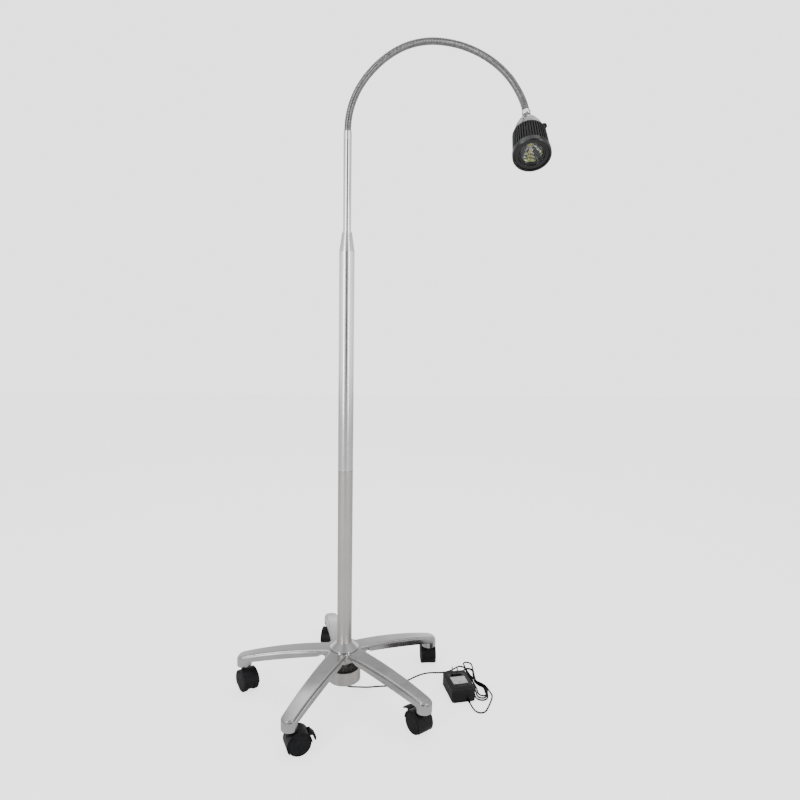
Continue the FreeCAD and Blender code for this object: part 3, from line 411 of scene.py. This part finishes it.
def add_mesh(name, verts, faces, paint_name, smooth=True):
    """A mesh piece from points in millimetres."""
    mesh = bpy.data.meshes.new(name)
    mesh.from_pydata([Vector(v) * MM for v in verts], [], faces)
    mesh.update()
    mesh.shade_smooth() if smooth else mesh.shade_flat()
    piece = bpy.data.objects.new(name, mesh)
    bpy.context.collection.objects.link(piece)
    paint(piece, paint_name)
    return piece


def skin(rings, closed=False):
    """Quads between rings of the same number of points; closed joins the last to the first."""
    count = len(rings[0])
    faces = []
    for low in range(len(rings) if closed else len(rings) - 1):
        high = (low + 1) % len(rings)
        for a in range(count):
            b = (a + 1) % count
            faces.append((low * count + a, low * count + b, high * count + b, high * count + a))
    return [p for ring in rings for p in ring], faces


# ---------------------------------------------------------------- flexible neck

NECK_START = 1262                           # height of the hose's lower end
NECK_LENGTH = 96.5                          # of each of the neck's lengths
NECK_BENDS = (32, 25, 33, 28, 39, 30)       # degrees each neck length turns through
NECK_ROLLS = (0, 0, 0, -14, -20, -14)       # degrees the plane of bending rolls before it
RIDGES = 30                                 # ridges on each neck length
RINGS = 8                                   # rings of points on each ridge
STEPS = RIDGES * RINGS                      # rings of points on each neck length
AROUND = 32                                 # points round each ring
HOSE_RADIUS = 7.4
RIDGE_DEPTH = 0.6
RIDGE_SHARPNESS = 0.7                       # below 1 the ridges are round and the grooves sharp


def neck_stations():
    """Point, direction and cross vector of each ring, and the frame at the neck's end."""
    point, along = Vector((0, 0, NECK_START)), Vector((0, 0, 1))
    axis, cross = Vector((0, 1, 0)), Vector((1, 0, 0))
    stations = []
    for bend, roll in zip(NECK_BENDS, NECK_ROLLS):
        axis = Matrix.Rotation(math.radians(roll), 3, along) @ axis
        centre = point + axis.cross(along) * (NECK_LENGTH / math.radians(bend))
        for step in range(STEPS):
            turn = Matrix.Rotation(math.radians(bend) * step / STEPS, 3, axis)
            stations.append((centre + turn @ (point - centre), turn @ along, turn @ cross))
        turn = Matrix.Rotation(math.radians(bend), 3, axis)
        point, along, cross = centre + turn @ (point - centre), turn @ along, turn @ cross
    stations.append((point, along, cross))
    return stations, (point, along, axis)


def hose_ring(index, station):
    """Points round one ring; the ridges wind along the hose like a screw."""
    point, along, cross = station
    other = along.cross(cross)
    ring = []
    for side in range(AROUND):
        phase = index / RINGS - side / AROUND
        ridge = abs(math.sin(math.pi * phase)) ** RIDGE_SHARPNESS
        radius = HOSE_RADIUS - RIDGE_DEPTH * (1 - ridge)
        angle = 2 * math.pi * side / AROUND
        ring.append(point + (cross * math.cos(angle) + other * math.sin(angle)) * radius)
    return ring


def make_neck(stations):
    """Stretches of hose cut at the middle of each neck length, so that each runs across a joint.
    """
    cuts = [0, *(STEPS // 2 + STEPS * i for i in range(len(NECK_BENDS))), len(stations) - 1]
    last = len(cuts) - 2
    for number, (first, end) in enumerate(zip(cuts, cuts[1:])):
        rings = [hose_ring(i, stations[i]) for i in range(first, end + 1)]
        piece = add_mesh(f"neck_hose_{number + 1}", *skin(rings), "neck_hose")
        if number in (0, last):
            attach(piece, "stand" if number == 0 else "head")
            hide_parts(f"neck_length_{1 if number == 0 else last}")
            continue
        margin = STEPS // 10
        start, stop = stations[first + margin][0] * MM, stations[end - margin][0] * MM
        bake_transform(piece)
        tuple(start)
        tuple(stop)
        if number > 1:
            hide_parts(f"neck_length_{number}")


neck, (head_point, head_along, head_axis) = neck_stations()
make_neck(neck)

# ---------------------------------------------------------------- lamp head

HEAD = Matrix((head_axis.cross(head_along), head_axis, head_along)).transposed().to_4x4()
HEAD.translation = head_point

THROAT_RADIUS, THROAT_AT = 6.5, 96.5        # the reflector's narrow end, and how far along
MOUTH_RADIUS, MOUTH_AT = 21.7, 119.8        # its wide end
BOWL_CURVE = 0.62                           # 1 is a plain cone, less bulges outward
REFLECTOR_WALL = 1.1
MIRROR, PAINTED_DARK_REFLECTION, PAINTED_WARM_REFLECTION, PAINTED_EMITTER_REFLECTION = range(4)        # plain mirror, or the painted reflection that a facet's colour stands for
SIDE_FACET = 0.55                           # facets further to the side than this mostly get a painted dark reflection


def make_reflector():
    """A bowl of flat mirror facets in staggered rows, with its outer wall; many facets carry
    painted reflections.
    """
    rows, facets = 7, 18
    rings = []
    for side in (0, 1):
        order = range(rows + 1) if side == 0 else range(rows, -1, -1)
        for row in order:
            share = row / rows
            inner = THROAT_RADIUS + (MOUTH_RADIUS - THROAT_RADIUS) * share ** BOWL_CURVE
            radius = inner + REFLECTOR_WALL * side
            depth = THROAT_AT + (MOUTH_AT - THROAT_AT) * share
            twist = math.pi / facets * (row % 2)
            rings.append([HEAD @ Vector((radius * math.cos(2 * math.pi * f / facets + twist),
                                         radius * math.sin(2 * math.pi * f / facets + twist),
                                         depth)) for f in range(facets)])
    piece = add_mesh("facet_reflector", *skin(rings, closed=True), "reflector_bright", False)
    # The facets' painted reflections, given out below by where each facet faces.
    for name in ("facet_dusk", "facet_cream", "facet_lime"):
        piece.data.materials.append(PAINTS[name])
    middle = HEAD @ Vector((0, 0, (THROAT_AT + MOUTH_AT) / 2))
    for number, face in enumerate(piece.data.polygons):
        out = face.center / MM - middle
        face.material_index = painted_facet_reflection(out.x, out.z, number)
    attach(piece, "head")
    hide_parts("reflector")


def painted_facet_reflection(side, rise, number):
    """Which painted reflection a facet's colour stands for: the emitter low down, warm light
    above it, the dark room beside; the rest stay plain mirror.
    """
    across = abs(side) / max(math.hypot(side, rise), 0.01)
    if across >= SIDE_FACET:
        return PAINTED_DARK_REFLECTION if number % 3 else MIRROR
    if rise < 0:
        return PAINTED_EMITTER_REFLECTION
    return PAINTED_WARM_REFLECTION if number % 2 else MIRROR


def make_emitter():
    """A low dome on the board, turned about the head's axis; hollow, with a pinhole on top."""
    foot, dome_radius, foot_radius, rise, pinhole, around = 97.2, 4.6, 4.7, 2.6, 0.02, 64
    outline = []
    for degrees in range(90, 0, -10):
        angle = math.radians(degrees)
        outline.append((pinhole + dome_radius * math.cos(angle), foot + rise * math.sin(angle)))
    outline.append((foot_radius, foot))
    rings = [[HEAD @ Vector((radius * math.cos(2 * math.pi * s / around),
                             radius * math.sin(2 * math.pi * s / around), height))
              for s in range(around)] for radius, height in outline]
    piece = add_mesh("led_emitter", *skin(rings, closed=True), "yellow_emitter")
    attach(piece, "head")


make_reflector()
make_emitter()

# ---------------------------------------------------------------- adapter and lead details

ADAPTER = Matrix.Translation((268.5, -17, 0)) @ Matrix.Rotation(math.radians(8), 4, "Z")
ADAPTER_TOP = 31
# What lies on the adapter's top: middle, width and length, corner radius, underside and top
# above the cover, width of the softened edge, paint. A raised panel carries the rest: a thumb
# mark, a near-black plate of painted shade standing for the recess behind the prongs, and a
# blank label.
ADAPTER_DETAILS = {
    "adapter_panel": ((0, -3), (46, 66), 7, -0.3, 0.9, 0.7, "adapter_case"),
    "adapter_thumb_mark": ((0, -27), (22, 7), 3, 0.6, 1.25, 0.3, "adapter_case"),
    "adapter_recess": ((0, 20.5), (27, 9), 1.5, 0.6, 1, 0.1, "dark_recess"),
    "adapter_label": ((0, -2), (35, 30), 2, 0.7, 1.15, 0.12, "plain_label"),
}


def rounded_plate(name, middle, spans, corner, low, high, edge, paint_name):
    """A thin plate on the adapter, with rounded corners and a soft upper edge."""
    def ring(inset, height):
        points = []
        half_x, half_y = spans[0] / 2 - inset, spans[1] / 2 - inset
        radius = max(corner - inset, 0.2)
        for quarter, (sx, sy) in enumerate(((1, 1), (-1, 1), (-1, -1), (1, -1))):
            for step in range(7):
                angle = math.radians(90 * quarter + 15 * step)
                points.append(ADAPTER @ Vector((
                    middle[0] + sx * (half_x - radius) + radius * math.cos(angle),
                    middle[1] + sy * (half_y - radius) + radius * math.sin(angle), height)))
        return points

    rings = [ring(0, low), ring(0, high - edge), ring(edge * 0.3, high - edge * 0.3),
             ring(edge, high)]
    verts, faces = skin(rings)
    count = len(rings[0])
    faces.append(tuple(reversed(range(count))))
    faces.append(tuple(range(len(verts) - count, len(verts))))
    return add_mesh(name, verts, faces, paint_name)


def make_adapter_details():
    details = []
    for name, (middle, spans, corner, low, high, edge, paint_name) in ADAPTER_DETAILS.items():
        piece = rounded_plate(name, middle, spans, corner, ADAPTER_TOP + low,
                              ADAPTER_TOP + high, edge, paint_name)
        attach(piece, "stand")
        details.append(piece)
    return details


def finish_lead(extras):
    """The lead's paint and the pieces it stands for, with the lead hung on the stand. extras,
    what is joined to it, is not used.
    """
    lead.data.materials.append(PAINTS["lead_cover"])
    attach(lead, "stand")
    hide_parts("lead_run", "lead_tail", "lead_hank")


finish_lead(make_adapter_details())

# ---------------------------------------------------------------- floor and light

BACKDROP = 2.5                          # brightness the camera sees behind the lamp
FLOOR_GLOW = 0.75                       # share of it that the floor adds for the camera
TILE = 500                              # width of each of the floor's squares
TILES = 24                              # squares along each side of the floor


def make_stage():
    """The floor, a grid of squares centred under the lamp."""
    points = range(-TILES // 2, TILES // 2 + 1)
    verts = [(x * TILE, y * TILE, 0) for y in points for x in points]
    line = len(points)
    faces = [(r * line + c, r * line + c + 1, (r + 1) * line + c + 1, (r + 1) * line + c)
             for r in range(TILES) for c in range(TILES)]
    add_mesh("floor", verts, faces, "pale_floor")
    light_floor(PAINTS["pale_floor"].node_tree)


def light_floor(tree):
    """A glow that only the camera sees, so that the floor meets the backdrop without an edge."""
    shader = next(n for n in tree.nodes if n.type == "BSDF_PRINCIPLED")
    output = next(n for n in tree.nodes if n.type == "OUTPUT_MATERIAL")
    glow = tree.nodes.new("ShaderNodeEmission")
    seen = tree.nodes.new("ShaderNodeLightPath")
    strength = tree.nodes.new("ShaderNodeMath")
    strength.operation = "MULTIPLY"
    strength.inputs[1].default_value = BACKDROP * FLOOR_GLOW
    both = tree.nodes.new("ShaderNodeAddShader")
    tree.links.new(seen.outputs["Is Camera Ray"], strength.inputs[0])
    tree.links.new(strength.outputs["Value"], glow.inputs["Strength"])
    tree.links.new(shader.outputs["BSDF"], both.inputs[0])
    tree.links.new(glow.outputs["Emission"], both.inputs[1])
    tree.links.new(both.outputs["Shader"], output.inputs["Surface"])


def soft_light(name, where, target, width, height, watts):
    data = bpy.data.lights.new(name, "AREA")
    data.shape = "RECTANGLE"
    data.size, data.size_y, data.energy = width, height, watts
    light = bpy.data.objects.new(name, data)
    bpy.context.collection.objects.link(light)
    light.location = where
    light.rotation_euler = (Vector(target) - Vector(where)).to_track_quat("-Z", "Y").to_euler()


# Brightness of the studio round the lamp, from behind the camera (0) to the far side (1).
STUDIO = ((0, 1.0), (0.12, 1.7), (0.4, 1.5), (0.7, 1.0), (1, 1.5))
# The same by height, from straight down (0) to straight up (1).
STUDIO_HEIGHT = ((0, 1), (0.54, 1), (0.62, 0.75), (0.75, 0.42), (1, 0.36))
# The dark gap between the two soft lights, from left (0) to right (1), how far round to the
# lamp's far side it reaches, and how it fades with height.
STUDIO_GAP = ((0, 1), (0.36, 1), (0.405, 0.04), (0.595, 0.04), (0.64, 1), (1, 1))
GAP_REACH = ((0, 1), (0.42, 1), (0.55, 0))
GAP_HEIGHT = ((0, 1), (0.58, 1), (0.7, 0.4), (1, 0.3))
# Soft lights, in metres and watts: place, what they face, width, height, power.
SOFT_LIGHTS = {
    "left": ((-1.35, -1.6, 1.25), (0, 0, 0.75), 0.45, 2.0, 13),
    "right": ((1.2, -1.7, 1.25), (0, 0, 0.75), 0.3, 2.0, 8),
    "top": ((0.2, 0.9, 2.9), (0, 0, 0.2), 2.4, 2.0, 20),
}


def brightness_ramp(nodes, links, value, stops):
    """Brightness by direction: value runs from -1 to 1, the stops from 0 to 1."""
    spread = nodes.new("ShaderNodeMapRange")
    spread.inputs["From Min"].default_value = -1
    links.new(value, spread.inputs["Value"])
    ramp = nodes.new("ShaderNodeValToRGB")
    links.new(spread.outputs["Result"], ramp.inputs["Fac"])
    elements = ramp.color_ramp.elements
    while len(elements) < len(stops):
        elements.new(0.5)
    for element, (position, level) in zip(elements, stops):
        element.position = position
        element.color = (level, level, level, 1)
    return ramp.outputs["Color"]


def mix_colours(nodes, links, blend, factor, first, second):
    """A mixing node's result; the last three are outputs of other nodes or plain values."""
    node = nodes.new("ShaderNodeMix")
    node.data_type, node.blend_type = "RGBA", blend
    for socket, value in (("Factor", factor), ("A", first), ("B", second)):
        if isinstance(value, bpy.types.NodeSocket):
            links.new(value, node.inputs[socket])
        else:
            node.inputs[socket].default_value = value
    return node.outputs["Result"]


def make_light():
    """A studio that lights the lamp, the plain backdrop that the camera sees, soft lights."""
    world = bpy.data.worlds.new("studio")
    bpy.context.scene.world = world
    world.use_nodes = True
    nodes, links = world.node_tree.nodes, world.node_tree.links
    background = next(n for n in nodes if n.type == "BACKGROUND")
    split = nodes.new("ShaderNodeSeparateXYZ")
    links.new(nodes.new("ShaderNodeTexCoord").outputs["Generated"], split.inputs["Vector"])
    across, far, up = (split.outputs[axis] for axis in "XYZ")
    studio = mix_colours(nodes, links, "MULTIPLY", 1,
                         brightness_ramp(nodes, links, far, STUDIO),
                         brightness_ramp(nodes, links, up, STUDIO_HEIGHT))
    depth = nodes.new("ShaderNodeMath")
    depth.operation = "MULTIPLY"
    links.new(brightness_ramp(nodes, links, far, GAP_REACH), depth.inputs[0])
    links.new(brightness_ramp(nodes, links, up, GAP_HEIGHT), depth.inputs[1])
    studio = mix_colours(nodes, links, "MULTIPLY", depth.outputs["Value"], studio,
                         brightness_ramp(nodes, links, across, STUDIO_GAP))
    seen = nodes.new("ShaderNodeLightPath").outputs["Is Camera Ray"]
    shown = mix_colours(nodes, links, "MIX", seen, studio, (BACKDROP, BACKDROP, BACKDROP, 1))
    links.new(shown, background.inputs["Color"])
    for name, (where, target, width, height, watts) in SOFT_LIGHTS.items():
        soft_light(name, where, target, width, height, watts)


make_stage()
make_light()
